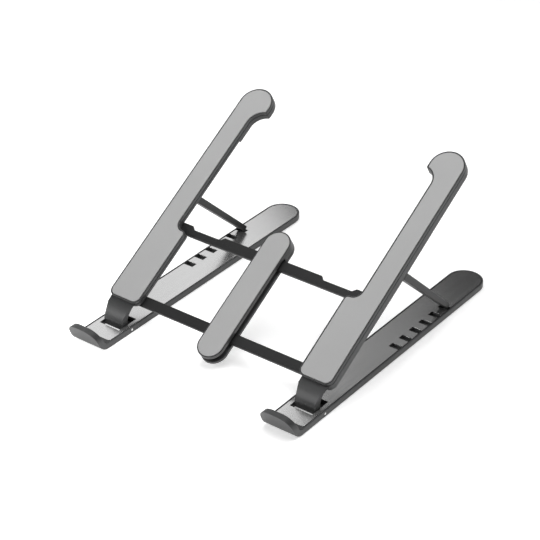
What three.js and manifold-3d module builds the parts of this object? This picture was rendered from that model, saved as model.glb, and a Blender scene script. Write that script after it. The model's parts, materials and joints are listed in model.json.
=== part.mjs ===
// Folding laptop stand: two floor rails, two hooked arms, a centre bar and four cross links.
// Millimetres, +Z up, +X to the right, +Y to the rear. The stand is drawn open, at its lowest setting.
import * as THREE from 'three';
import { mergeVertices } from 'three/addons/utils/BufferGeometryUtils.js';
import Module from 'manifold-3d';

const wasm = await Module();
wasm.setup();

// ---- driving dimensions ----------------------------------------------------------------------
const HALF_SPAN = 102.3;          // centre plane to the outer edge of a rail or an arm
const GAP = 0.3;                  // air between pieces that touch

const RAIL_WIDTH = 28.4;
const RAIL_LENGTH = 245;          // root of the lip to the rear end
const RAIL_BOTTOM = 0.4;          // the rail stands on its feet, just clear of the table
const RAIL_TOP = 5.5;
const RECESS_DEPTH = 1.0;         // recess for the plate in the rail's top
const RIM_WIDTH = 1.2;
const PLATE_THICKNESS = 0.5;

const LIP_ANGLE = 65;             // degrees, how far the lip curls up
const LIP_OUTER_RADIUS = 10;
const LIP_HEIGHT = 19.4;
const LIP_CORNER_RADIUS = 10.5;

const PIN_Y = 26.5;               // hinge between rail and arm, from the root of the lip
const PIN_Z = 2.75;
const PIN_RADIUS = 1.1;
const PIN_HOLE_RADIUS = 1.4;
const NECK_WIDTH = 17.8;
const SLOT_FRONT = 9.6;           // slot in the rail for the arm's neck, from the hinge
const SLOT_REAR = 9.8;
const SLOT_WIDTH = 19;

const POCKET_COUNT = 6;           // seats for the strut's foot
const POCKET_FIRST_Y = 121.9;
const POCKET_PITCH = 13.2;
const POCKET_LENGTH = 5.4;
const POCKET_WIDTH = 8.3;
const POCKET_DEPTH = 3.4;
const STRUT_LINE = 96.5;          // strut and pockets, from the centre plane

const TILT = 30.5;                // degrees, arms above the table
const PAD_HEIGHT = 14.5;          // top of the arm pads above the hinge pin, square to the arm
const ARM_INSET = 0.7;            // from the rail's outer edge to the arm's
const ARM_WIDTH = 28.4;
const NARROW_WIDTH = 18.3;
const ARM_FRONT = 14.3;           // along the arm, from the hinge pin
const SHOULDER = 83;
const HEAD_CENTRE = 204.1;
const HOOK_CENTRE = 187;        // centre of the round seat for the centre bar
const HOOK_RADIUS = 12.2;
const COVER_BOTTOM = 2.6;         // these three are depths below the pad tops
const FRAME_TOP = 3.1;
const FRAME_BOTTOM = 5.8;
const OUTER_WALL = 9;
const HEAD_BOTTOM = 7.7;
const WALL = 1;
const PAD_BORDER = 1.2;
const PAD_THICKNESS = 0.8;
const PAD_PROUD = 0.2;

const LINK_LENGTH = 87.8;         // between pivots
const LINK_TOP = 6.1;             // depths below the arm pads
const LINK_BOTTOM = 8.6;
const FRONT_LINK_V = 21.3;        // along the arm, from the hinge pin
const REAR_LINK_V = 87.5;
const FRONT_LINK_WIDTH = 8.6;
const REAR_LINK_WIDTH = 9;
const BAR_PIVOT = 4.9;            // bar pivots, from the centre plane
const RIVET_RADIUS = 1.9;
const RIVET_HOLE = 2.2;

const BAR_HALF_WIDTH = 10.8;
const BAR_FRONT = -1.4;
const BAR_REAR = 111.2;
const BAR_TOP = 1.3;              // depths below the arm pads
const BAR_SPLIT = 4.5;
const BAR_FLOOR = 8.9;
const BAR_BOTTOM = 11.4;
const BAR_BLOCK_V = 93;

const STRUT_PIVOT_V = 115.5;
const STRUT_PIVOT_DEPTH = 7;
const STRUT_LENGTH = 90;
const STRUT_ANGLE = 42.35;        // degrees below level
const STRUT_WIDTH = 7.3;
const EYE_RADIUS = 2.9;
const FOOT_HALF_THICKNESS = 2.2;

// ---- materials -------------------------------------------------------------------------------
function finish(color, roughness, metalness) {
  return new THREE.MeshStandardMaterial({ color, roughness, metalness });
}
const shell = finish(0x3f3f41, 0.5, 0);
const link = finish(0x333335, 0.45, 0);
const silicone = finish(0xababab, 0.85, 0);
const satinMetal = finish(0xb9b9bb, 0.25, 0.9);
const steel = finish(0xc8c8c8, 0.3, 1);
const rubber = finish(0x2a2a2a, 0.9, 0);

// ---- small tools -----------------------------------------------------------------------------
const ARC_STEPS = 10;
const ROUND_STEPS = 24;
const SIDEWAYS = new THREE.Matrix4().makeBasis(
  new THREE.Vector3(0, 1, 0),
  new THREE.Vector3(0, 0, 1),
  new THREE.Vector3(1, 0, 0),
);

// A closed mesh as a solid that can be joined and cut.
function solid(geometry) {
  const bare = geometry.clone();
  bare.deleteAttribute('normal');
  bare.deleteAttribute('uv');
  const merged = mergeVertices(bare, 1e-4);
  const vertProperties = new Float32Array(merged.attributes.position.array);
  const triVerts = new Uint32Array(merged.index.array);
  return new wasm.Manifold(new wasm.Mesh({ numProp: 3, vertProperties, triVerts }));
}

function geometryOf(manifold) {
  const mesh = manifold.getMesh();
  const geometry = new THREE.BufferGeometry();
  geometry.setAttribute('position', new THREE.BufferAttribute(mesh.vertProperties, 3));
  geometry.setIndex(new THREE.BufferAttribute(mesh.triVerts, 1));
  geometry.computeVertexNormals();
  return geometry;
}

function join(first, ...others) {
  return others.reduce((sum, other) => sum.add(other), first);
}

function cut(first, ...others) {
  return others.reduce((rest, other) => rest.subtract(other), first);
}

// A flat outline, raised from one height to another.
function slab(shape, low, high) {
  const settings = { depth: high - low, bevelEnabled: false, curveSegments: ARC_STEPS };
  return solid(new THREE.ExtrudeGeometry(shape, settings).translate(0, 0, low));
}

// The same between two depths below the arm pads, in the arm's own frame.
function layer(shape, topDepth, bottomDepth) {
  return slab(shape, PAD_HEIGHT - bottomDepth, PAD_HEIGHT - topDepth);
}

// A side outline, drawn in (y, z), stretched from one x to another.
function stretched(shape, left, right) {
  const settings = { depth: right - left, bevelEnabled: false, curveSegments: ARC_STEPS };
  return solid(new THREE.ExtrudeGeometry(shape, settings).applyMatrix4(SIDEWAYS).translate(left, 0, 0));
}

function polygon(...points) {
  return new THREE.Shape(points.map(([a, b]) => new THREE.Vector2(a, b)));
}

function rectangle(left, front, right, rear) {
  return polygon([left, front], [right, front], [right, rear], [left, rear]);
}

function disc(x, y, radius) {
  return new THREE.Shape().absarc(x, y, radius, 0, 2 * Math.PI);
}

function upright(x, y, radius, low, high) {
  const rod = new THREE.CylinderGeometry(radius, radius, high - low, ROUND_STEPS);
  return solid(rod.rotateX(Math.PI / 2).translate(x, y, (low + high) / 2));
}

function crosswise(left, right, y, z, radius) {
  const rod = new THREE.CylinderGeometry(radius, radius, right - left, ROUND_STEPS);
  return solid(rod.rotateZ(Math.PI / 2).translate((left + right) / 2, y, z));
}

// A bar with round ends along Y.
function stadium(x, front, rear, halfWidth) {
  const shape = new THREE.Shape();
  shape.absarc(x, rear - halfWidth, halfWidth, 0, Math.PI);
  shape.absarc(x, front + halfWidth, halfWidth, Math.PI, 2 * Math.PI);
  return shape;
}

// The same piece for the left side.
function mirrored(geometry) {
  const copy = geometry.clone().scale(-1, 1, 1);
  const index = copy.index.array;
  for (let i = 0; i < index.length; i += 3) {
    [index[i], index[i + 1]] = [index[i + 1], index[i]];
  }
  copy.computeVertexNormals();
  return copy;
}

const stand = new THREE.Group();
const deck = new THREE.Group();   // everything that lies in the tilted plane of the arms
deck.position.set(0, PIN_Y, PIN_Z);
deck.rotation.x = THREE.MathUtils.degToRad(TILT);
stand.add(deck);

function addNode(parent, name, geometry, material) {
  const mesh = new THREE.Mesh(geometry, material);
  mesh.name = name;
  parent.add(mesh);
}

// A right piece and its mirrored left twin.
function addPair(parent, name, manifold, material) {
  const geometry = geometryOf(manifold);
  addNode(parent, `right_${name}`, geometry, material);
  addNode(parent, `left_${name}`, mirrored(geometry), material);
}

// ---- rails -----------------------------------------------------------------------------------
const RAIL_OUT = HALF_SPAN;
const RAIL_IN = HALF_SPAN - RAIL_WIDTH;
const RAIL_MID = (RAIL_IN + RAIL_OUT) / 2;
const SLOT = [RAIL_MID - SLOT_WIDTH / 2, PIN_Y - SLOT_FRONT, RAIL_MID + SLOT_WIDTH / 2, PIN_Y + SLOT_REAR];

// Straight sides, a square front with softened corners and a full round rear.
function railOutline(inset, front, cornerRadius) {
  const halfWidth = RAIL_WIDTH / 2 - inset;
  const shape = new THREE.Shape();
  shape.absarc(RAIL_MID, RAIL_LENGTH - inset - halfWidth, halfWidth, 0, Math.PI);
  shape.absarc(RAIL_MID - halfWidth + cornerRadius, front + cornerRadius, cornerRadius, Math.PI, 1.5 * Math.PI);
  shape.absarc(RAIL_MID + halfWidth - cornerRadius, front + cornerRadius, cornerRadius, 1.5 * Math.PI, 2 * Math.PI);
  return shape;
}

function pocketOutlines(clearance) {
  const left = STRUT_LINE - POCKET_WIDTH / 2 - clearance;
  const right = STRUT_LINE + POCKET_WIDTH / 2 + clearance;
  const outlines = [];
  for (let i = 0; i < POCKET_COUNT; i += 1) {
    const middle = POCKET_FIRST_Y + i * POCKET_PITCH;
    const reach = POCKET_LENGTH / 2 + clearance;
    outlines.push(rectangle(left, middle - reach, right, middle + reach));
  }
  return outlines;
}

// The lip curls up from the rail's front and leans forward, with round upper corners.
function lip() {
  const angle = THREE.MathUtils.degToRad(LIP_ANGLE);
  const centreZ = RAIL_BOTTOM + LIP_OUTER_RADIUS;
  const innerRadius = centreZ - RAIL_TOP;
  const along = new THREE.Vector2(-Math.cos(angle), Math.sin(angle));
  const turned = (radius) => new THREE.Vector2(-radius * Math.sin(angle), centreZ - radius * Math.cos(angle));
  const atTop = (start) => start.clone().addScaledVector(along, (LIP_HEIGHT - start.y) / along.y);
  const overlap = 2;
  const profile = new THREE.Shape();
  profile.moveTo(overlap, RAIL_BOTTOM);
  profile.lineTo(overlap, RAIL_TOP);
  profile.absarc(0, centreZ, innerRadius, 1.5 * Math.PI, 1.5 * Math.PI - angle, true);
  profile.lineTo(atTop(turned(innerRadius)).x, LIP_HEIGHT);
  profile.lineTo(atTop(turned(LIP_OUTER_RADIUS)).x, LIP_HEIGHT);
  profile.absarc(0, centreZ, LIP_OUTER_RADIUS, 1.5 * Math.PI - angle, 1.5 * Math.PI, false);
  const body = stretched(profile, RAIL_IN, RAIL_OUT);

  // Front view of the lip: drawn in (x, z) and stretched along Y, it rounds the upper corners.
  const tongue = new THREE.Shape();
  tongue.moveTo(RAIL_IN, 0);
  tongue.lineTo(RAIL_OUT, 0);
  tongue.absarc(RAIL_OUT - LIP_CORNER_RADIUS, LIP_HEIGHT - LIP_CORNER_RADIUS, LIP_CORNER_RADIUS, 0, Math.PI / 2);
  tongue.absarc(RAIL_IN + LIP_CORNER_RADIUS, LIP_HEIGHT - LIP_CORNER_RADIUS, LIP_CORNER_RADIUS, Math.PI / 2, Math.PI);
  const reach = 60;
  const settings = { depth: reach, bevelEnabled: false, curveSegments: ARC_STEPS };
  const frontView = new THREE.ExtrudeGeometry(tongue, settings).rotateX(Math.PI / 2).translate(0, reach / 2, 0);
  return body.intersect(solid(frontView));
}

const FOOT_HEIGHT = 0.9;
const FEET = { front_foot: [44, 72], rear_foot: [204, 232] };
const FOOT_HALF_WIDTH = 8;

function footOutline([front, rear], clearance) {
  return stadium(RAIL_MID, front - clearance, rear + clearance, FOOT_HALF_WIDTH + clearance);
}

function railBody() {
  const flat = slab(railOutline(0, 0, 0.5), RAIL_BOTTOM, RAIL_TOP);
  const recess = slab(railOutline(RIM_WIDTH, 2, 3), RAIL_TOP - RECESS_DEPTH, RAIL_TOP + 1);
  const slot = join(
    slab(rectangle(...SLOT), RAIL_BOTTOM + 0.6, RAIL_TOP + 1),
    slab(rectangle(SLOT[0], PIN_Y - 6.4, SLOT[2], PIN_Y + 3.4), -1, RAIL_TOP + 1),
  );
  const pockets = pocketOutlines(0).map((outline) => slab(outline, RAIL_TOP - POCKET_DEPTH, RAIL_TOP + 1));
  const footPockets = Object.values(FEET).map((foot) => slab(footOutline(foot, GAP), -1, FOOT_HEIGHT + GAP));
  const bore = crosswise(RAIL_IN - 1, RAIL_OUT + 1, PIN_Y, PIN_Z, PIN_HOLE_RADIUS);
  return cut(join(flat, lip()), recess, slot, ...pockets, ...footPockets, bore);
}

function railPlate() {
  const floor = RAIL_TOP - RECESS_DEPTH + GAP;
  const sheet = slab(railOutline(RIM_WIDTH + GAP, 2 + GAP, 3 - GAP), floor, floor + PLATE_THICKNESS);
  const slot = slab(rectangle(...SLOT), 0, RAIL_TOP + 1);
  const pockets = pocketOutlines(0).map((outline) => slab(outline, 0, RAIL_TOP + 1));
  return cut(sheet, slot, ...pockets);
}

addPair(stand, 'rail_body', railBody(), shell);
addPair(stand, 'rail_plate', railPlate(), satinMetal);
for (const [name, foot] of Object.entries(FEET)) {
  addPair(stand, name, slab(footOutline(foot, 0), 0, FOOT_HEIGHT), rubber);
}
addPair(stand, 'hinge_pin', crosswise(RAIL_IN + 0.1, RAIL_OUT - 0.1, PIN_Y, PIN_Z, PIN_RADIUS), steel);

// ---- arms ------------------------------------------------------------------------------------
const ARM_OUT = HALF_SPAN - ARM_INSET;
const ARM_IN = ARM_OUT - ARM_WIDTH;
const NARROW_IN = ARM_OUT - NARROW_WIDTH;
const HEAD_MID = (ARM_IN + ARM_OUT) / 2;
const HEAD_RADIUS = ARM_WIDTH / 2;
const HOOK_MID = NARROW_IN - HOOK_RADIUS;

// Wide foot, narrow shank outboard of the centre bar's recess, and a round hooked head.
// A positive inset draws the same outline that much smaller.
function armOutline(inset) {
  const cornerRadius = 6 - inset;
  const shoulderRadius = 3.5 - inset;
  const filletRadius = 6.5 + inset;
  const noseRadius = 1.5 - inset * 0.6;
  const front = ARM_FRONT + inset;
  const outer = ARM_OUT - inset;
  const inner = ARM_IN + inset;
  const shoulder = SHOULDER - inset;
  const narrow = NARROW_IN + inset;
  const seatRadius = HOOK_RADIUS + inset;
  const noseX = inner + noseRadius;
  const seatTop = HOOK_CENTRE + Math.sqrt(seatRadius ** 2 - (noseX - HOOK_MID) ** 2);
  const seatAngle = Math.atan2(seatTop - HOOK_CENTRE, noseX - HOOK_MID);
  const shape = new THREE.Shape();
  shape.absarc(outer - cornerRadius, front + cornerRadius, cornerRadius, 1.5 * Math.PI, 2 * Math.PI);
  shape.absarc(HEAD_MID, HEAD_CENTRE, HEAD_RADIUS - inset, 0, Math.PI);
  shape.absarc(noseX, seatTop + noseRadius, noseRadius, Math.PI, 1.5 * Math.PI);
  shape.absarc(HOOK_MID, HOOK_CENTRE, seatRadius, seatAngle, 0, true);
  shape.absarc(narrow - filletRadius, shoulder + filletRadius, filletRadius, 0, -Math.PI / 2, true);
  shape.absarc(inner + shoulderRadius, shoulder - shoulderRadius, shoulderRadius, Math.PI / 2, Math.PI);
  shape.absarc(inner + cornerRadius, front + cornerRadius, cornerRadius, Math.PI, 1.5 * Math.PI);
  return shape;
}

const ARM_RIVETS = [FRONT_LINK_V, REAR_LINK_V];
const ARM_PIVOT = BAR_PIVOT + LINK_LENGTH;
const ARM_SCREWS = { arm_front_screw: [79.5, 48], arm_rear_screw: [87.5, 152] };
const SCREW_SHANK = 1;
const SCREW_HEAD = 2.2;
const SCREW_HEAD_TOP = 4.8;
const STRUT_IN = STRUT_LINE - STRUT_WIDTH / 2;
const STRUT_OUT = STRUT_LINE + STRUT_WIDTH / 2;
const EAR_THICKNESS = 1.4;
const EAR_BOTTOM = 9.2;
const EAR_HALF_LENGTH = 3.4;
const CHANNEL = [STRUT_IN - 0.5, STRUT_PIVOT_V - 3.4, ARM_OUT - WALL, STRUT_PIVOT_V + STRUT_LENGTH + 0.9];

function armCover() {
  const body = layer(armOutline(0), PAD_PROUD, COVER_BOTTOM);
  const recess = layer(armOutline(PAD_BORDER - GAP), -1, PAD_THICKNESS + GAP);
  const holes = Object.values(ARM_SCREWS).map(([x, v]) =>
    upright(x, v, SCREW_SHANK + GAP, PAD_HEIGHT - COVER_BOTTOM - 1, PAD_HEIGHT - 1.5));
  return cut(body, recess, ...holes);
}

// Side view of the neck: a knuckle round the hinge pin, a heel and a curved web up to the arm's front.
function neckProfile() {
  const knuckle = 2.4;
  const brow = 9.6;
  const shape = new THREE.Shape();
  const plateTop = PAD_HEIGHT - FRAME_TOP;
  const plateBottom = PAD_HEIGHT - FRAME_BOTTOM;
  shape.moveTo(brow + 10, plateTop);
  shape.lineTo(brow, plateTop);
  shape.bezierCurveTo(4.5, 11.2, -1.2, 9.4, -3.1, 5);
  shape.bezierCurveTo(-3.8, 3.4, -4.6, 2.6, -4.6, 1.9);
  shape.lineTo(-2, -1.3);
  shape.absarc(0, 0, knuckle, 1.183 * Math.PI, 2 * Math.PI);
  shape.bezierCurveTo(2.8, 5, 6.5, plateBottom - 0.5, brow + 10, plateBottom);
  return shape;
}

// Front view of the neck, drawn in (x, height): it widens under the arm with a round fillet each side.
function neck() {
  const radius = 2.6;
  const left = RAIL_MID - NECK_WIDTH / 2;
  const right = RAIL_MID + NECK_WIDTH / 2;
  const shoulderTop = PAD_HEIGHT - FRAME_TOP;
  const view = new THREE.Shape();
  view.moveTo(left, -4);
  view.lineTo(right, -4);
  view.absarc(right + radius, shoulderTop - radius, radius, Math.PI, Math.PI / 2, true);
  view.lineTo(right + radius, PAD_HEIGHT);
  view.lineTo(left - radius, PAD_HEIGHT);
  view.absarc(left - radius, shoulderTop - radius, radius, Math.PI / 2, 0, true);
  const reach = 60;
  const settings = { depth: reach, bevelEnabled: false, curveSegments: ARC_STEPS };
  const frontView = new THREE.ExtrudeGeometry(view, settings).rotateX(Math.PI / 2).translate(0, reach / 2, 0);
  return stretched(neckProfile(), left - radius, right + radius).intersect(solid(frontView));
}

function strutEar(left, right) {
  const top = PAD_HEIGHT - FRAME_BOTTOM + 0.5;
  const bottom = PAD_HEIGHT - EAR_BOTTOM;
  const foot = EAR_HALF_LENGTH;
  const tip = 2.1;
  const v = STRUT_PIVOT_V;
  return stretched(polygon([v - foot, top], [v - tip, bottom], [v + tip, bottom], [v + foot, top]), left, right);
}

function armFrame() {
  const plate = layer(armOutline(0), FRAME_TOP, FRAME_BOTTOM);
  const outline = layer(armOutline(0), FRAME_TOP, OUTER_WALL);
  const skirt = (x0, v0, x1, v1, depth) => outline.intersect(layer(rectangle(x0, v0, x1, v1), FRAME_TOP, depth));
  const wall = cut(
    skirt(RAIL_MID + NECK_WIDTH / 2, ARM_FRONT - 1, ARM_OUT + 1, HEAD_CENTRE + HEAD_RADIUS, OUTER_WALL),
    layer(armOutline(WALL), 0, OUTER_WALL + 1),
  );
  const headBlock = skirt(ARM_IN - 1, 172, CHANNEL[0] - 0.1, HEAD_CENTRE + HEAD_RADIUS, HEAD_BOTTOM);
  const headEnd = skirt(CHANNEL[0] - 1, CHANNEL[3], ARM_OUT + 1, HEAD_CENTRE + HEAD_RADIUS, HEAD_BOTTOM);
  const innerEar = strutEar(STRUT_IN - 0.35 - EAR_THICKNESS, STRUT_IN - 0.35);
  const outerEar = strutEar(STRUT_OUT + 0.35, ARM_OUT - 0.2);
  const pivotZ = PAD_HEIGHT - STRUT_PIVOT_DEPTH;
  const body = join(plate, wall, headBlock, headEnd, neck());
  const channel = layer(rectangle(...CHANNEL), 0, OUTER_WALL + 1);
  const withEars = join(cut(body, channel), innerEar, outerEar);
  const pinHole = crosswise(RAIL_IN, RAIL_OUT, 0, 0, PIN_HOLE_RADIUS);
  const strutHole = crosswise(STRUT_IN - 2.5, ARM_OUT - 0.6, STRUT_PIVOT_V, pivotZ, PIN_HOLE_RADIUS);
  const rivetHoles = ARM_RIVETS.map((v) => upright(ARM_PIVOT, v, RIVET_HOLE, 0, PAD_HEIGHT));
  const screwHoles = Object.values(ARM_SCREWS).flatMap(([x, v]) => [
    upright(x, v, SCREW_SHANK + GAP, 0, PAD_HEIGHT),
    upright(x, v, SCREW_HEAD + GAP, 0, PAD_HEIGHT - SCREW_HEAD_TOP + GAP),
  ]);
  return cut(withEars, pinHole, strutHole, ...rivetHoles, ...screwHoles);
}

function screw(x, v, headTop, headBottom, shankTop) {
  return join(
    upright(x, v, SCREW_HEAD, PAD_HEIGHT - headBottom, PAD_HEIGHT - headTop),
    upright(x, v, SCREW_SHANK, PAD_HEIGHT - headBottom, PAD_HEIGHT - shankTop),
  );
}

function rivet(x, v, shankTop, headTop, headBottom, headRadius) {
  return join(
    upright(x, v, RIVET_RADIUS, PAD_HEIGHT - headBottom, PAD_HEIGHT - shankTop),
    upright(x, v, headRadius, PAD_HEIGHT - headBottom, PAD_HEIGHT - headTop),
  );
}

addPair(deck, 'arm_cover', armCover(), shell);
addPair(deck, 'arm_frame', armFrame(), shell);
addPair(deck, 'arm_pad', layer(armOutline(PAD_BORDER), 0, PAD_THICKNESS), silicone);
addPair(deck, 'front_link_rivet', rivet(ARM_PIVOT, FRONT_LINK_V, 3.4, LINK_BOTTOM + GAP, 10.1, 3.6), steel);
addPair(deck, 'rear_link_rivet', rivet(ARM_PIVOT, REAR_LINK_V, 3.4, LINK_BOTTOM + GAP, 10.1, 3.6), steel);
for (const [name, [x, v]] of Object.entries(ARM_SCREWS)) {
  addPair(deck, name, screw(x, v, SCREW_HEAD_TOP, FRAME_BOTTOM - 0.1, 1.9), steel);
}

// ---- struts ----------------------------------------------------------------------------------
// Drawn along +Y from its eye and turned down to the rail about the pivot.
function strut() {
  const side = new THREE.Shape();
  side.absarc(0, 0, EYE_RADIUS, Math.PI / 2, 1.5 * Math.PI);
  side.lineTo(STRUT_LENGTH, -FOOT_HALF_THICKNESS);
  side.lineTo(STRUT_LENGTH, FOOT_HALF_THICKNESS);
  const blank = stretched(side, STRUT_IN, STRUT_OUT);
  return cut(blank, crosswise(STRUT_IN - 1, STRUT_OUT + 1, 0, 0, PIN_HOLE_RADIUS));
}

const strutHolder = new THREE.Group();
strutHolder.position.set(0, STRUT_PIVOT_V, PAD_HEIGHT - STRUT_PIVOT_DEPTH);
strutHolder.rotation.x = -THREE.MathUtils.degToRad(TILT + STRUT_ANGLE);
deck.add(strutHolder);
addPair(strutHolder, 'strut', strut(), link);
addPair(deck, 'strut_pin',
  crosswise(STRUT_IN - 1.7, ARM_OUT - 0.9, STRUT_PIVOT_V, PAD_HEIGHT - STRUT_PIVOT_DEPTH, PIN_RADIUS), steel);

// ---- cross links -----------------------------------------------------------------------------
const COLLAR_RADIUS = 3.9;
const NOTCH = [47.3, 72.3];       // along X, where the rear link clears the folded strut
const NOTCH_DEPTH = 2.8;

function crossLink(v, width) {
  const half = width / 2;
  const shape = new THREE.Shape();
  shape.absarc(ARM_PIVOT, v, half, -Math.PI / 2, Math.PI / 2);
  shape.absarc(BAR_PIVOT, v, half, Math.PI / 2, 1.5 * Math.PI);
  const strip = layer(shape, LINK_TOP, LINK_BOTTOM);
  const collar = layer(disc(BAR_PIVOT, v, COLLAR_RADIUS), BAR_SPLIT + GAP, LINK_TOP + 0.5);
  const holes = [ARM_PIVOT, BAR_PIVOT].map((x) => upright(x, v, RIVET_HOLE, 0, PAD_HEIGHT));
  return cut(join(strip, collar), ...holes);
}

function rearLink() {
  const rearEdge = REAR_LINK_V + REAR_LINK_WIDTH / 2;
  const [inner, outer] = NOTCH;
  const notch = polygon(
    [inner - NOTCH_DEPTH, rearEdge + 0.01],
    [inner, rearEdge - NOTCH_DEPTH],
    [outer, rearEdge - NOTCH_DEPTH],
    [outer + NOTCH_DEPTH, rearEdge + 0.01],
  );
  return cut(crossLink(REAR_LINK_V, REAR_LINK_WIDTH), layer(notch, 0, PAD_HEIGHT));
}

addPair(deck, 'front_link', crossLink(FRONT_LINK_V, FRONT_LINK_WIDTH), link);
addPair(deck, 'rear_link', rearLink(), link);

// ---- centre bar ------------------------------------------------------------------------------
const BAR_SCREWS = { bar_front_screw: 38, bar_rear_screw: 102 };
const BAR_HEAD_TOP = 10.2;
const BAR_PAD_TOP = BAR_TOP;
const BAR_RIM = BAR_TOP + 0.1;
const BAR_PAD_BORDER = 0.9;

function barOutline(inset) {
  return stadium(0, BAR_FRONT + inset, BAR_REAR - inset, BAR_HALF_WIDTH - inset);
}

function barRivetHoles(radius, topDepth, bottomDepth) {
  return [-BAR_PIVOT, BAR_PIVOT].flatMap((x) => ARM_RIVETS.map((v) =>
    upright(x, v, radius, PAD_HEIGHT - bottomDepth, PAD_HEIGHT - topDepth)));
}

function barScrewHoles(radius, topDepth, bottomDepth) {
  return Object.values(BAR_SCREWS).map((v) =>
    upright(0, v, radius, PAD_HEIGHT - bottomDepth, PAD_HEIGHT - topDepth));
}

function barTopShell() {
  const body = layer(barOutline(0), BAR_RIM, BAR_SPLIT);
  const recess = layer(barOutline(BAR_PAD_BORDER - GAP), 0, BAR_PAD_TOP + PAD_THICKNESS - 0.1 + GAP);
  const block = layer(barOutline(0), BAR_SPLIT - 0.5, BAR_FLOOR - GAP)
    .intersect(layer(rectangle(-20, BAR_BLOCK_V, 20, 120), 0, PAD_HEIGHT));
  const holes = barRivetHoles(RIVET_HOLE, 3.1, PAD_HEIGHT);
  return cut(join(cut(body, recess), block), ...holes, ...barScrewHoles(SCREW_SHANK + GAP, 3, PAD_HEIGHT));
}

// The lower shell carries a wedge and a post between the links that hold the two shells apart.
function barBottomShell() {
  const floor = layer(barOutline(0), BAR_FLOOR, BAR_BOTTOM);
  const wedge = layer(polygon([-7.5, 30], [7.5, 30], [6, 48], [-6, 48]), BAR_SPLIT + GAP, BAR_FLOOR + 0.5);
  const post = layer(disc(0, 3, 1.9), BAR_SPLIT + GAP, BAR_FLOOR + 0.5);
  return cut(
    join(floor, wedge, post),
    ...barRivetHoles(RIVET_HOLE, 0, PAD_HEIGHT),
    ...barRivetHoles(3.5, BAR_HEAD_TOP - GAP, PAD_HEIGHT),
    ...barScrewHoles(SCREW_SHANK + GAP, 0, PAD_HEIGHT),
    ...barScrewHoles(SCREW_HEAD + GAP, BAR_HEAD_TOP - GAP, PAD_HEIGHT),
  );
}

addNode(deck, 'bar_top_shell', geometryOf(barTopShell()), shell);
addNode(deck, 'bar_bottom_shell', geometryOf(barBottomShell()), shell);
addNode(deck, 'bar_pad',
  geometryOf(layer(barOutline(BAR_PAD_BORDER), BAR_PAD_TOP, BAR_PAD_TOP + PAD_THICKNESS - 0.1)), silicone);
addPair(deck, 'bar_front_rivet', rivet(BAR_PIVOT, FRONT_LINK_V, 3.4, BAR_HEAD_TOP, BAR_BOTTOM - 0.1, 3.2), steel);
addPair(deck, 'bar_rear_rivet', rivet(BAR_PIVOT, REAR_LINK_V, 3.4, BAR_HEAD_TOP, BAR_BOTTOM - 0.1, 3.2), steel);
for (const [name, v] of Object.entries(BAR_SCREWS)) {
  addNode(deck, name, geometryOf(screw(0, v, BAR_HEAD_TOP, BAR_BOTTOM - 0.1, 3.3)), steel);
}

// ---- origin: middle of the stand's footprint, on the table -------------------------------------
stand.updateMatrixWorld(true);
const bounds = new THREE.Box3().setFromObject(stand, true);
const middle = bounds.getCenter(new THREE.Vector3());
stand.position.set(-middle.x, -middle.y, -bounds.min.z);

export default stand;
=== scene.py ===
"""Looks of a folding laptop stand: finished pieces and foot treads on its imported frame."""
import json
import math

import bmesh
import bpy
from mathutils import Matrix, Vector

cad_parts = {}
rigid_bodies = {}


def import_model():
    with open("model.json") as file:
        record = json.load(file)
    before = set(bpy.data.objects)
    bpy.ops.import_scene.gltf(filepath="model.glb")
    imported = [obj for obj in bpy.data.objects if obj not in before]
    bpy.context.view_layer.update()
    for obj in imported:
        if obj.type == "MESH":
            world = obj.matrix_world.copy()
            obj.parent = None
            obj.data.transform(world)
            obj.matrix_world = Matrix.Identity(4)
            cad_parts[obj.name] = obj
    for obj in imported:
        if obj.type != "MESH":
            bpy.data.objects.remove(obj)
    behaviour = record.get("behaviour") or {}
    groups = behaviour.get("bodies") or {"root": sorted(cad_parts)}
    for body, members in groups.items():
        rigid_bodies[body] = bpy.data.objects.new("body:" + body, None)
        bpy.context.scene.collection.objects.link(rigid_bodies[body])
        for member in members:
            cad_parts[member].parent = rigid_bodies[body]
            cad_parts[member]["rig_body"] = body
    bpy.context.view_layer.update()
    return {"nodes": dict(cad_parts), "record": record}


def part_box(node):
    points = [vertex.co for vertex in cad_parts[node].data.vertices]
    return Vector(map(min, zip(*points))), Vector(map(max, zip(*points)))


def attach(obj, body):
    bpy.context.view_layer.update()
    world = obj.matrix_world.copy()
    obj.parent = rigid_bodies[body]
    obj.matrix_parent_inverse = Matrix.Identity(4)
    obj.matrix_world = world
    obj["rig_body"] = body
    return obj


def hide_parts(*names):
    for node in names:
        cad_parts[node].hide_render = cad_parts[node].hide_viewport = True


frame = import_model()

MM = 0.001
SIDES = ("right", "left")


# ---- shader maths ------------------------------------------------------------------------------
class Value:
    """A node socket that Python's arithmetic works on."""

    def __init__(self, nodes, socket):
        self.nodes = nodes
        self.socket = socket

    def __add__(self, other):
        return self.nodes.maths("ADD", self, other)

    def __radd__(self, other):
        return self.nodes.maths("ADD", other, self)

    def __sub__(self, other):
        return self.nodes.maths("SUBTRACT", self, other)

    def __rsub__(self, other):
        return self.nodes.maths("SUBTRACT", other, self)

    def __mul__(self, other):
        return self.nodes.maths("MULTIPLY", self, other)

    def __rmul__(self, other):
        return self.nodes.maths("MULTIPLY", other, self)


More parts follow.
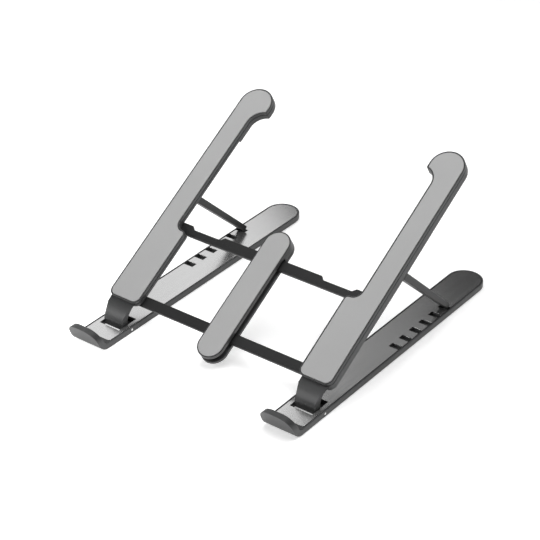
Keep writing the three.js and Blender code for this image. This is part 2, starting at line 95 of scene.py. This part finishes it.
class Nodes:
    """A node tree; make() adds any node to it."""

    def __init__(self, tree):
        self.tree = tree

    def fill(self, node, inputs):
        for key, value in inputs.items():
            if isinstance(value, Value):
                self.tree.links.new(value.socket, node.inputs[key])
            else:
                node.inputs[key].default_value = value

    def make(self, kind, settings, inputs, output=0):
        """Add a node and give its output, or None for a node without outputs."""
        node = self.tree.nodes.new(kind)
        for key, value in settings.items():
            setattr(node, key, value)
        self.fill(node, inputs)
        return Value(self, node.outputs[output]) if node.outputs else None

    def maths(self, operation, first, second=0.0):
        return self.make("ShaderNodeMath", {"operation": operation}, {0: first, 1: second})

    def soft_step(self, value, low, high):
        """0 below low, 1 above high, smooth between."""
        inputs = {"Value": value, "From Min": low, "From Max": high}
        return self.make("ShaderNodeMapRange", {"interpolation_type": "SMOOTHSTEP"}, inputs)


# The colour sockets of a Mix node, which share their names with its number and vector sockets.
MIX_LOW, MIX_HIGH, MIX_RESULT = 6, 7, 2


class Finish(Nodes):
    """One material; wear() connects the sockets of its surface."""

    def __init__(self, name):
        self.material = bpy.data.materials.new(name)
        self.material.use_nodes = True
        super().__init__(self.material.node_tree)
        self.surface = self.tree.nodes["Principled BSDF"]
        self.place = self.make("ShaderNodeTexCoord", {}, {}, "Object")

    def wear(self, **sockets):
        inputs = {name.replace("_", " "): value for name, value in sockets.items()}
        self.fill(self.surface, inputs)
        return self.material

    def stretched(self, scale):
        """Object coordinates stretched along the axes, for streaks."""
        inputs = {"Vector": self.place, "Scale": scale}
        return self.make("ShaderNodeMapping", {"vector_type": "POINT"}, inputs)

    def noise(self, scale, detail=2.0, roughness=0.5, place=None):
        inputs = {
            "Vector": place or self.place,
            "Scale": scale,
            "Detail": detail,
            "Roughness": roughness,
        }
        return self.make("ShaderNodeTexNoise", {}, inputs)

    def blend(self, share, low, high):
        """A colour between low and high."""
        inputs = {"Factor": share, MIX_LOW: (*low, 1.0), MIX_HIGH: (*high, 1.0)}
        return self.make("ShaderNodeMix", {"data_type": "RGBA"}, inputs, MIX_RESULT)

    def bump(self, height, depth, strength=1.0):
        inputs = {"Height": height, "Distance": depth, "Strength": strength}
        return self.make("ShaderNodeBump", {}, inputs)


def grey(level, warmth=0.0):
    return (level * (1 + warmth), level, level * (1 - warmth))


# ---- finishes ----------------------------------------------------------------------------------
NYLON_WARMTH = -0.012


def moulded_shell(name, level, roughness, grain):
    """Spark-textured nylon: a fine even grain, uneven from the mould, with a few rubbed spots."""
    finish = Finish(name)
    drift = finish.noise(scale=28.0, detail=3.0)
    fine = finish.noise(scale=grain, detail=2.0, roughness=0.6)
    rubbed = finish.soft_step(finish.noise(scale=95.0, detail=5.0, roughness=0.7), 0.62, 0.78)
    tone = drift * 0.6 + fine * 0.4
    dark = grey(level * 0.82, NYLON_WARMTH)
    light = grey(level * 1.2, NYLON_WARMTH)
    return finish.wear(
        Base_Color=finish.blend(tone, dark, light),
        Roughness=roughness + (drift - 0.5) * 0.10 + (fine - 0.5) * 0.08 - rubbed * 0.05,
        Normal=finish.bump(fine, depth=0.05 * MM, strength=0.7),
        Specular_IOR_Level=0.38,
    )


def silicone_pad(name, level):
    """Light grey silicone sheet with a dry skin, fine pimples and traces of dust."""
    finish = Finish(name)
    clouds = finish.noise(scale=22.0, detail=4.0, roughness=0.6)
    skin = finish.noise(scale=2600.0, detail=3.0, roughness=0.65)
    dust = finish.soft_step(finish.noise(scale=900.0, detail=1.0), 0.70, 0.80)
    tone = clouds * 0.5 + skin * 0.3 + dust * 0.3
    return finish.wear(
        Base_Color=finish.blend(tone, grey(level * 0.9), grey(level * 1.12)),
        Roughness=0.78 + (skin - 0.5) * 0.12 + dust * 0.08,
        Normal=finish.bump(skin, depth=0.04 * MM, strength=0.6),
    )


def metal_inlay(name, level):
    """Thin anodised sheet, faintly brushed along the rail."""
    finish = Finish(name)
    fine_grain = finish.stretched((2600.0, 26.0, 2600.0))
    broad_grain = finish.stretched((240.0, 9.0, 240.0))
    streaks = finish.noise(scale=1.0, detail=4.0, roughness=0.7, place=fine_grain)
    broad = finish.noise(scale=1.0, detail=2.0, roughness=0.5, place=broad_grain)
    return finish.wear(
        Base_Color=finish.blend(streaks * 0.5 + broad * 0.5, grey(level * 0.9), grey(level * 1.08)),
        Metallic=0.93,
        Roughness=0.22 + (streaks - 0.5) * 0.10 + (broad - 0.5) * 0.06,
        Normal=finish.bump(streaks, depth=0.01 * MM, strength=0.5),
    )


def turned_steel(name, level):
    """Bright pins and rivets with fine turning marks and a few smears."""
    finish = Finish(name)
    marks = finish.noise(scale=5200.0, detail=3.0, roughness=0.7)
    smear = finish.noise(scale=420.0, detail=2.0)
    return finish.wear(
        Base_Color=finish.blend(smear, grey(level * 0.85), grey(level * 1.1)),
        Metallic=1.0,
        Roughness=0.26 + (marks - 0.5) * 0.14 + (smear - 0.5) * 0.10,
        Normal=finish.bump(marks, depth=0.01 * MM, strength=0.4),
    )


def foot_rubber(name, level):
    """Matte black rubber with a dusty bloom."""
    finish = Finish(name)
    bloom = finish.noise(scale=160.0, detail=4.0, roughness=0.65)
    pores = finish.noise(scale=3800.0, detail=2.0, roughness=0.6)
    return finish.wear(
        Base_Color=finish.blend(bloom, grey(level * 0.7), grey(level * 1.6)),
        Roughness=0.85 + (pores - 0.5) * 0.15,
        Normal=finish.bump(pores, depth=0.05 * MM, strength=0.7),
    )


FINISHES = {
    "shell": moulded_shell("moulded_shell", level=0.044, roughness=0.42, grain=2400.0),
    "link": moulded_shell("moulded_link", level=0.013, roughness=0.44, grain=3200.0),
    "silicone_pad": silicone_pad("silicone_pad", level=0.33),
    "metal_inlay": metal_inlay("metal_inlay", level=0.62),
    "steel": turned_steel("turned_steel", level=0.62),
    "foot_rubber": foot_rubber("foot_rubber", level=0.028),
}
SLOT_OF_NODE = {entry["node"]: entry["material_slot"] for entry in frame["record"]["subparts"]}


# ---- finished pieces ---------------------------------------------------------------------------
EDGES = {
    "arm_cover": 0.30 * MM,
    "arm_frame": 0.30 * MM,
    "arm_pad": 0.30 * MM,
    "rail_body": 0.45 * MM,
    "rail_plate": 0.12 * MM,
    "front_foot": 0.30 * MM,
    "rear_foot": 0.30 * MM,
    "front_link": 0.40 * MM,
    "rear_link": 0.45 * MM,
    "strut": 0.60 * MM,
    "hinge_pin": 0.20 * MM,
    "strut_pin": 0.20 * MM,
    "front_link_rivet": 0.35 * MM,
    "rear_link_rivet": 0.35 * MM,
    "arm_front_screw": 0.20 * MM,
    "arm_rear_screw": 0.20 * MM,
    "bar_front_rivet": 0.30 * MM,
    "bar_rear_rivet": 0.30 * MM,
}
BAR_EDGES = {
    "bar_top_shell": 0.30 * MM,
    "bar_bottom_shell": 0.35 * MM,
    "bar_pad": 0.30 * MM,
    "bar_front_screw": 0.20 * MM,
    "bar_rear_screw": 0.20 * MM,
}
FEET = ("front_foot", "rear_foot")
TREAD_HEIGHT = 0.35 * MM

WELD = 1e-6  # metres; corners this close are one corner
FLAT = math.radians(0.8)  # facets that turn less than this from their neighbours are one face
SHARP = math.radians(38)  # edges that turn more than this are rounded
ROUNDING_STEPS = 3


def add_object(name, data):
    added = bpy.data.objects.new(name, data)
    bpy.context.scene.collection.objects.link(added)
    return added


def fit_to_frame(piece, node):
    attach(piece, frame["nodes"][node]["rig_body"])
    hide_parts(node)


def finished_copy(node, radius, lowest=0.0):
    """A moulded piece's true surface: the facets merged into whole faces, sharp edges rounded.

    Nothing of it hangs below the height called lowest.
    """
    mesh = frame["nodes"][node].data.copy()
    shape = bmesh.new()
    shape.from_mesh(mesh)
    for corner in shape.verts:
        corner.co.z = max(corner.co.z, lowest)
    bmesh.ops.remove_doubles(shape, verts=shape.verts, dist=WELD)
    bmesh.ops.dissolve_limit(shape, angle_limit=FLAT, verts=shape.verts, edges=shape.edges)
    many_sided = [face for face in shape.faces if len(face.verts) > 4]
    bmesh.ops.triangulate(shape, faces=many_sided)
    shape.to_mesh(mesh)
    shape.free()
    mesh.materials.clear()
    mesh.materials.append(FINISHES[SLOT_OF_NODE[node]])
    piece = add_object(f"{node}_finished", mesh)
    rounding = piece.modifiers.new("rounded_edges", "BEVEL")
    rounding.width = radius
    rounding.segments = ROUNDING_STEPS
    rounding.limit_method = "ANGLE"
    rounding.angle_limit = SHARP
    rounding.use_clamp_overlap = False
    rounding.loop_slide = False
    shading = piece.modifiers.new("even_shading", "WEIGHTED_NORMAL")
    shading.keep_sharp = True
    mesh.shade_smooth()
    fit_to_frame(piece, node)


for piece_name, edge in EDGES.items():
    lowest_point = TREAD_HEIGHT if piece_name in FEET else 0.0
    for side in SIDES:
        finished_copy(f"{side}_{piece_name}", edge, lowest_point)
for piece_name, edge in BAR_EDGES.items():
    finished_copy(piece_name, edge)


# ---- tread under the feet ----------------------------------------------------------------------
RIB_COUNT = 9
RIB_WIDTH = 1.3 * MM
RIB_ROOT = 0.1 * MM  # how far a rib goes up into its foot
RIB_INSET = 0.5 * MM  # from the foot's outline to the outline of the ribs

TREAD_INPUTS = {
    "Ribs": "NodeSocketInt",
    "First Rib": "NodeSocketVector",
    "Pitch": "NodeSocketVector",
    "Rib Width": "NodeSocketFloat",
    "Rib Height": "NodeSocketFloat",
    "Middle": "NodeSocketFloat",
    "Straight": "NodeSocketFloat",
    "End Radius": "NodeSocketFloat",
    "Rubber": "NodeSocketMaterial",
}


def tread_tree():
    """Cross ribs in a row, each as long as a round-ended foot is wide at that place."""
    tree = bpy.data.node_groups.new("foot_tread", "GeometryNodeTree")
    for name, kind in TREAD_INPUTS.items():
        tree.interface.new_socket(name, in_out="INPUT", socket_type=kind)
    tree.interface.new_socket("Geometry", in_out="OUTPUT", socket_type="NodeSocketGeometry")
    nodes = Nodes(tree)
    given = {name: nodes.make("NodeGroupInput", {}, {}, name) for name in TREAD_INPUTS}
    row = nodes.make(
        "GeometryNodeMeshLine",
        {"mode": "OFFSET"},
        {"Count": given["Ribs"], "Start Location": given["First Rib"], "Offset": given["Pitch"]},
    )
    place = nodes.make("GeometryNodeInputPosition", {}, {})
    along = nodes.make("ShaderNodeSeparateXYZ", {}, {"Vector": place}, "Y")
    offset = nodes.maths("ABSOLUTE", along - given["Middle"])
    into_end = nodes.maths("MAXIMUM", offset - given["Straight"], 0.0)
    chord = nodes.maths("SQRT", given["End Radius"] * given["End Radius"] - into_end * into_end)
    size = {"X": chord * 2.0, "Y": given["Rib Width"], "Z": given["Rib Height"]}
    ribs = nodes.make(
        "GeometryNodeInstanceOnPoints",
        {},
        {
            "Points": row,
            "Instance": nodes.make("GeometryNodeMeshCube", {}, {}),
            "Scale": nodes.make("ShaderNodeCombineXYZ", {}, size),
        },
    )
    solid = nodes.make("GeometryNodeRealizeInstances", {}, {"Geometry": ribs})
    painted = nodes.make(
        "GeometryNodeSetMaterial",
        {},
        {"Geometry": solid, "Material": given["Rubber"]},
    )
    nodes.make("NodeGroupOutput", {}, {"Geometry": painted})
    return tree


def made_by_nodes(name, tree, inputs):
    """An object with the plain mesh that a geometry tree makes from named inputs."""
    piece = add_object(name, bpy.data.meshes.new(name))
    making = piece.modifiers.new("making", "NODES")
    making.node_group = tree
    for item in tree.interface.items_tree:
        if item.in_out == "INPUT":
            making[item.identifier] = inputs[item.name]
    bpy.context.view_layer.update()
    evaluated = piece.evaluated_get(bpy.context.evaluated_depsgraph_get())
    made = bpy.data.meshes.new_from_object(evaluated)
    piece.modifiers.remove(making)
    piece.data = made
    return piece


def foot_tread(node, tree):
    """The ribs under one foot."""
    low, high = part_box(node)
    width = high.x - low.x
    length = high.y - low.y
    pitch = length / (RIB_COUNT + 1)
    rib_height = TREAD_HEIGHT + RIB_ROOT
    end_radius = width / 2 - RIB_INSET
    return made_by_nodes(f"{node}_tread", tree, {
        "Ribs": RIB_COUNT,
        "First Rib": ((low.x + high.x) / 2, low.y + pitch, rib_height / 2),
        "Pitch": (0.0, pitch, 0.0),
        "Rib Width": RIB_WIDTH,
        "Rib Height": rib_height,
        "Middle": (low.y + high.y) / 2,
        "Straight": length / 2 - RIB_INSET - end_radius,
        "End Radius": end_radius,
        "Rubber": FINISHES["foot_rubber"],
    })


TREAD = tread_tree()
for foot in FEET:
    for side in SIDES:
        fit_to_frame(foot_tread(f"{side}_{foot}", TREAD), f"{side}_{foot}")


# ---- studio ------------------------------------------------------------------------------------
FLOOR_REACH = 6.0  # metres from the middle to each side
PAPER = (0.9, 0.9, 0.9, 1.0)
BASE_GLOW = 0.25
FRONT_GLOW = 0.55  # what the front left adds
FRONT_LEFT = (-0.535, -0.845, 0)
FRONT_RANGE = (-0.05, 0.2)  # metres to the front left over which that glow comes up
FAR_RANGE = (0.6, 1.4)  # metres from the middle over which the far floor's glow comes up

SKY_RANGE = (0.05, 0.32)  # heights over the horizon between which the sky goes dark
SKY_LOSS = 0.94

SENSOR_WIDTH = 36.0


def studio_floor():
    """White paper that glows a little: more at the front left, and most of all far out."""
    shape = bmesh.new()
    bmesh.ops.create_grid(shape, x_segments=1, y_segments=1, size=FLOOR_REACH)
    mesh = bpy.data.meshes.new("floor")
    shape.to_mesh(mesh)
    shape.free()
    floor = add_object("floor", mesh)
    finish = Finish("floor_paper")
    forwards = finish.make(
        "ShaderNodeVectorMath",
        {"operation": "DOT_PRODUCT"},
        {0: finish.place, 1: FRONT_LEFT},
        "Value",
    )
    outwards = finish.make(
        "ShaderNodeVectorMath",
        {"operation": "LENGTH"},
        {0: finish.place},
        "Value",
    )
    front = finish.soft_step(forwards, *FRONT_RANGE)
    far = finish.soft_step(outwards, *FAR_RANGE)
    finish.wear(
        Base_Color=PAPER,
        Roughness=0.9,
        Emission_Color=BASE_GLOW + front * FRONT_GLOW + far,
        Emission_Strength=1.0,
    )
    mesh.materials.append(finish.material)


def softbox(name, place, target, size, radiance):
    """A round diffuser; radiance is how bright its face looks."""
    lamp = bpy.data.lights.new(name, "AREA")
    lamp.shape = "DISK"
    lamp.size = size
    lamp.energy = radiance * (math.pi * size / 2) ** 2
    holder = add_object(name, lamp)
    holder.location = place
    aim = Vector(target) - Vector(place)
    holder.rotation_euler = aim.to_track_quat("-Z", "Y").to_euler()
    holder.visible_camera = False


def studio_light():
    world = bpy.data.worlds.new("studio")
    bpy.context.scene.world = world
    world.use_nodes = True
    sky = Nodes(world.node_tree)
    direction = sky.make("ShaderNodeTexCoord", {}, {}, "Generated")
    rise = sky.make("ShaderNodeSeparateXYZ", {}, {"Vector": direction}, "Z")
    strength = 1 - sky.soft_step(rise, *SKY_RANGE) * SKY_LOSS
    sky.fill(world.node_tree.nodes["Background"], {"Strength": strength})
    softbox("overhead", (0.32, 0.1, 1.5), (0, 0, 0), size=1.7, radiance=3.6)
    softbox("front_left", (-0.85, -1.2, 0.8), (0, 0, 0.03), size=1.0, radiance=6.0)
    softbox("left_card", (-0.435, 0.26, 0.33), (-0.05, 0.0, 0), size=0.48, radiance=1.05)
    softbox("right_card", (-0.19, 0.34, 0.36), (0.1, 0.0, 0), size=0.28, radiance=0.30)
    bpy.context.scene.view_settings.view_transform = "Standard"


def studio_camera(azimuth, elevation, roll, distance, target, lens):
    """Azimuth 0 looks along +Y and 90 along -X; roll turns the picture."""
    a = math.radians(azimuth)
    e = math.radians(elevation)
    r = math.radians(roll)
    back = Vector((math.sin(a) * math.cos(e), -math.cos(a) * math.cos(e), math.sin(e)))
    level = Vector((math.cos(a), math.sin(a), 0))
    rising = back.cross(level)
    right = math.cos(r) * level + math.sin(r) * rising
    up = math.cos(r) * rising - math.sin(r) * level
    camera = add_object("camera", bpy.data.cameras.new("camera"))
    camera.matrix_world = Matrix.LocRotScale(
        Vector(target) + back * distance,
        Matrix((right, up, back)).transposed().to_quaternion(),
        None,
    )
    camera.data.lens = lens
    camera.data.sensor_width = SENSOR_WIDTH
    bpy.context.scene.camera = camera


studio_floor()
studio_light()
studio_camera(
    azimuth=37.25,
    elevation=31.47,
    roll=-0.23,
    distance=1.40057,
    target=(-0.04612, 0.04398, 0),
    lens=118.9,
)

bpy.context.view_layer.update()
